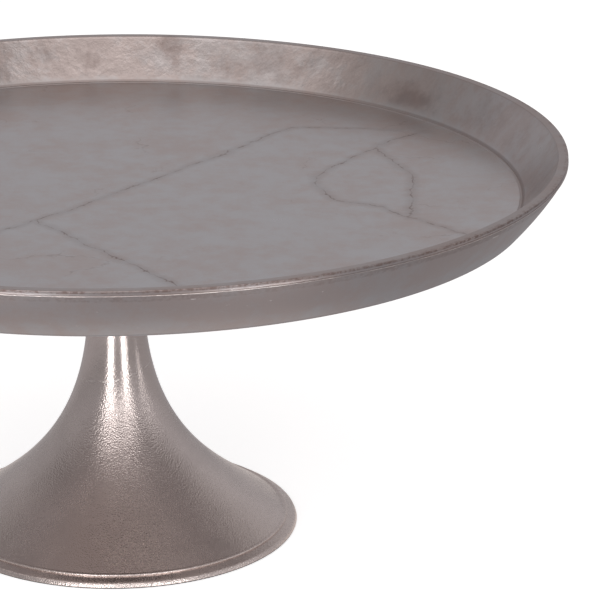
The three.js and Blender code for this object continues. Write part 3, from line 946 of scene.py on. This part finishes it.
def make_glides():
    """Nylon pads, and threaded studs with a spanner hexagon."""
    pads = [f"glide_pad_{number}" for number in range(1, 5)]
    studs = [f"glide_stud_{number}" for number in range(1, 5)]
    low, high = (corner.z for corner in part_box(pads[0]))
    edge = 15 * MM
    socket = 4.45 * MM
    pad_profile = [
        (11 * MM, low + 0.3 * MM),
        (11.6 * MM, low),
        *arc((edge - 1 * MM, low + 1 * MM), (1 * MM, 1 * MM), -90, 0, 5),
        *arc((edge - 1.4 * MM, high - 1.4 * MM), (1.4 * MM, 1.4 * MM), 0, 90, 6),
        (socket + 0.3 * MM, high),
        (socket, high - 0.3 * MM),
        (socket, high - 2 * MM),
    ]
    pad = turned("pad_model", pad_profile, 64, closed_ring=False)
    placed_copies(pad, pads, "black_plastic", lambda node: "pad_" + node[-1])

    low, high = (corner.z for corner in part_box(studs[0]))
    crest, root = 3.85 * MM, 3.3 * MM
    pitch = 1.25 * MM
    hex_low, hex_high = low + 2 * MM, low + 6.3 * MM
    hex_radius = 7.45 * MM             # to its corners
    shaft = [(crest - 0.5 * MM, low), (crest, low + 0.5 * MM), (crest, hex_high - 0.1 * MM)]
    start = hex_high + 0.1 * MM
    for turn in range(int((high - start - 1 * MM) / pitch)):
        z = start + turn * pitch
        shaft += [(root, z), (root, z + 0.2 * MM), (crest, z + 0.6 * MM), (crest, z + 0.85 * MM)]
    shaft += [(root, high - 0.5 * MM), (root - 0.5 * MM, high)]
    stud = turned("stud_model", shaft, 32, closed_ring=False)
    hexagon = prism(6, hex_radius, hex_low, hex_high, bevel=0.3 * MM)
    combine(stud, hexagon, "UNION")
    placed_copies(stud, studs, "zinc_steel", lambda node: "stud_" + node[-1])


# ---- Stage -----------------------------------------------------------------------------


def make_camera():
    """A long lens in front and above, turned slightly towards +X."""
    bpy.ops.object.camera_add()
    camera = bpy.context.object
    place = (0, -3.2864, 1.3514)
    yaw, pitch, roll = math.radians(3.229), math.radians(18.758), math.radians(0.115)
    turn = Matrix.Rotation(-yaw, 4, "Z") @ Matrix.Rotation(math.pi / 2 - pitch, 4, "X")
    camera.matrix_world = Matrix.Translation(place) @ turn @ Matrix.Rotation(roll, 4, "Z")
    camera.data.lens = 206.72
    camera.data.sensor_width = 36
    camera.data.clip_start = 0.05
    bpy.context.scene.camera = camera


def make_softbox(name, azimuth, elevation, distance, width, height, radiance, colour=(1, 1, 1)):
    """An area light that faces the table. Azimuth 0 is the front, and elevation is to its middle."""
    turn, rise = math.radians(azimuth), math.radians(elevation)
    aim = Vector((0, 0, 0.25))
    way = Vector((math.sin(turn) * math.cos(rise), -math.cos(turn) * math.cos(rise), math.sin(rise)))
    bpy.ops.object.light_add(type="AREA", location=aim + way * distance)
    light = bpy.context.object
    light.name = name
    light.rotation_euler = way.to_track_quat("Z", "Y").to_euler()
    light.data.shape = "RECTANGLE"
    light.data.size = width
    light.data.size_y = height
    light.data.energy = radiance * math.pi * width * height
    light.data.color = colour
    light.visible_camera = False


def make_world():
    """A dim studio, darker low down and on the left, with a near white backdrop."""
    world = bpy.data.worlds.new("studio")
    bpy.context.scene.world = world
    world.use_nodes = True
    tree = world.node_tree
    place = tree.nodes.new("ShaderNodeTexCoord")
    split = tree.nodes.new("ShaderNodeSeparateXYZ")
    ramp = tree.nodes.new("ShaderNodeValToRGB")
    tree.links.new(place.outputs["Generated"], split.inputs[0])
    tree.links.new(split.outputs["Z"], ramp.inputs["Fac"])
    # Heights up the sky, as the height of a direction of length 1, with their light
    stops = [
        (0.0, (0.35, 0.345, 0.35)),
        (0.2, (0.44, 0.43, 0.445)),
        (0.3, (0.53, 0.52, 0.54)),
        (0.36, (0.53, 0.52, 0.54)),
        (0.52, (0.40, 0.385, 0.385)),
        (0.9, (0.47, 0.44, 0.425)),
        (0.985, (0.72, 0.68, 0.66)),
    ]
    elements = ramp.color_ramp.elements
    elements.remove(elements[1])
    elements[0].position = stops[0][0]
    elements[0].color = (*stops[0][1], 1)
    for position, colour in stops[1:]:
        elements.new(position).color = (*colour, 1)
    tree.links.new(ramp.outputs["Color"], tree.nodes["Background"].inputs["Color"])
    dimmer = tree.nodes.new("ShaderNodeMapRange")
    dimmer.interpolation_type = "SMOOTHSTEP"
    dimming = {"From Min": -0.75, "From Max": -0.2, "To Min": 0.74, "To Max": 1.0}
    for socket, value in dimming.items():
        dimmer.inputs[socket].default_value = value
    tree.links.new(split.outputs["X"], dimmer.inputs["Value"])
    tree.links.new(dimmer.outputs[0], tree.nodes["Background"].inputs["Strength"])
    backdrop = tree.nodes.new("ShaderNodeBackground")
    backdrop.inputs["Color"].default_value = (0.95, 0.95, 0.95, 1)
    path = tree.nodes.new("ShaderNodeLightPath")
    chosen = tree.nodes.new("ShaderNodeMixShader")
    tree.links.new(path.outputs["Is Camera Ray"], chosen.inputs["Fac"])
    tree.links.new(tree.nodes["Background"].outputs[0], chosen.inputs[1])
    tree.links.new(backdrop.outputs[0], chosen.inputs[2])
    tree.links.new(chosen.outputs[0], tree.nodes["World Output"].inputs["Surface"])


def studio_paper():
    """White to the camera, grey in reflections, and clear from underneath."""
    recipe = Recipe("studio_paper", Roughness=0.9, Specular_IOR_Level=0.1, Emission_Strength=0.7)
    recipe.shader.inputs["Base Color"].default_value = (0.8, 0.8, 0.8, 1)
    recipe.shader.inputs["Emission Color"].default_value = (1, 1, 1, 1)
    across = recipe.split(recipe.place)[0]
    reach = recipe.vector("LENGTH", recipe.place, output="Value")
    near, far = 300 * MM, 420 * MM     # the paper glows warmer and brighter under the table
    glow = recipe.step(reach, near, far, 0.72, 0.4)
    glow *= recipe.step(across, 150 * MM, 500 * MM, 1.0, 0.86)
    tint = recipe.mix(recipe.step(reach, near, far), (1, 0.93, 0.89), (1, 0.97, 0.995))
    grey = recipe.add("ShaderNodeEmission", None, {"Color": recipe.scaled(tint, glow)})
    seen = recipe.add("ShaderNodeLightPath", output="Is Camera Ray")
    white = Wire(recipe.tree, recipe.shader.outputs[0])
    above = recipe.add("ShaderNodeMixShader", None, {"Fac": seen, 1: grey, 2: white})
    below = recipe.add("ShaderNodeNewGeometry", output="Backfacing")
    clear = recipe.add("ShaderNodeBsdfTransparent")
    surface = recipe.add("ShaderNodeMixShader", None, {"Fac": below, 1: above, 2: clear})
    feed(recipe.tree, recipe.tree.nodes["Material Output"].inputs["Surface"], surface)
    return recipe.material


def make_floor():
    """A wide pale floor, a hair below the foot."""
    deselect()
    bpy.ops.mesh.primitive_plane_add(size=80, location=(0, 0, -0.4 * MM))
    floor = bpy.context.object
    floor.name = "studio_floor"
    floor.data.materials.append(studio_paper())


def make_stage():
    bpy.context.scene.view_settings.view_transform = "Standard"
    make_camera()
    make_world()
    make_floor()
    make_softbox("left_strip", -21, 13, 2.2, 0.5, 1.1, 2.8)
    make_softbox("left_low_strip", -20, -11, 0.72, 0.2, 0.2, 3.2)
    make_softbox("right_strip", 26, 13, 2.2, 0.45, 1.1, 2.3)
    make_softbox("right_low_strip", 25, -11, 0.72, 0.2, 0.2, 2.8)
    make_softbox("side_strip", 74, 4, 1.3, 0.12, 0.5, 1.4)
    make_softbox("front_fill", -2, 27, 2.2, 0.8, 0.7, 1.8)
    make_softbox("front_top", 6, 58, 2.6, 2.0, 1.2, 0.95, (1.0, 0.95, 0.93))
    make_softbox("left_top", -56, 50, 2.6, 1.8, 1.3, 0.75, (1.0, 0.95, 0.93))


# ---- Operators -------------------------------------------------------------------------


class TRAYTABLE_OT_tray(bpy.types.Operator):
    """Models the tray's pan and apron"""

    bl_idname = "traytable.tray"
    bl_label = "Tray"

    def execute(self, context):
        make_tray_pan()
        make_tray_apron()
        return {"FINISHED"}


class TRAYTABLE_OT_pedestal(bpy.types.Operator):
    """Models the trumpet and capital castings and the rubber foot ring"""

    bl_idname = "traytable.pedestal"
    bl_label = "Pedestal"

    def execute(self, context):
        make_trumpet()
        make_capital()
        make_foot_ring()
        return {"FINISHED"}


class TRAYTABLE_OT_hardware(bpy.types.Operator):
    """Models the mounting flange, the screws and the levelling glides"""

    bl_idname = "traytable.hardware"
    bl_label = "Hardware"

    def execute(self, context):
        make_flange()
        make_screws([f"flange_screw_{n}" for n in range(1, 7)], "black_steel", 3 * MM, 3.4 * MM)
        make_screws([f"ballast_screw_{n}" for n in range(1, 4)], "zinc_steel", 3.9 * MM, 4.2 * MM)
        make_glides()
        return {"FINISHED"}


class TRAYTABLE_OT_frame_finish(bpy.types.Operator):
    """Gives the carried-over frame pieces their materials"""

    bl_idname = "traytable.frame_finish"
    bl_label = "Frame Materials"

    def execute(self, context):
        slots = {part["node"]: part["material_slot"] for part in frame["record"]["subparts"]}
        for name, node in frame["nodes"].items():
            if node.hide_render:
                continue
            material = material_for(slots[name])
            if not node.material_slots:
                node.data.materials.append(material)
            for holder in node.material_slots:
                holder.material = material
        return {"FINISHED"}


class TRAYTABLE_OT_stage(bpy.types.Operator):
    """Adds the camera, lights and floor"""

    bl_idname = "traytable.stage"
    bl_label = "Stage"

    def execute(self, context):
        make_stage()
        return {"FINISHED"}


class TRAYTABLE_PT_panel(bpy.types.Panel):
    bl_label = "Tray Table"
    bl_idname = "TRAYTABLE_PT_panel"
    bl_space_type = "VIEW_3D"
    bl_region_type = "UI"
    bl_category = "Tray Table"

    def draw(self, context):
        layout = self.layout
        for operator in OPERATORS:
            layout.operator(operator.bl_idname)
        for group in (context.scene.tray_table_sizes, context.scene.tray_table_finish):
            for key in group.bl_rna.properties.keys():
                if key not in ("rna_type", "name"):
                    layout.prop(group, key)


OPERATORS = (
    TRAYTABLE_OT_stage,
    TRAYTABLE_OT_tray,
    TRAYTABLE_OT_pedestal,
    TRAYTABLE_OT_hardware,
    TRAYTABLE_OT_frame_finish,
)
CLASSES = (TrayTableSizes, TrayTableFinish, *OPERATORS, TRAYTABLE_PT_panel)


def register():
    for cls in CLASSES:
        bpy.utils.register_class(cls)
    bpy.types.Scene.tray_table_sizes = PointerProperty(type=TrayTableSizes)
    bpy.types.Scene.tray_table_finish = PointerProperty(type=TrayTableFinish)


def unregister():
    del bpy.types.Scene.tray_table_finish
    del bpy.types.Scene.tray_table_sizes
    for cls in reversed(CLASSES):
        bpy.utils.unregister_class(cls)


def main():
    register()
    for operator in OPERATORS:
        module, name = operator.bl_idname.split(".")
        getattr(getattr(bpy.ops, module), name)()


if __name__ == "__main__":
    main()
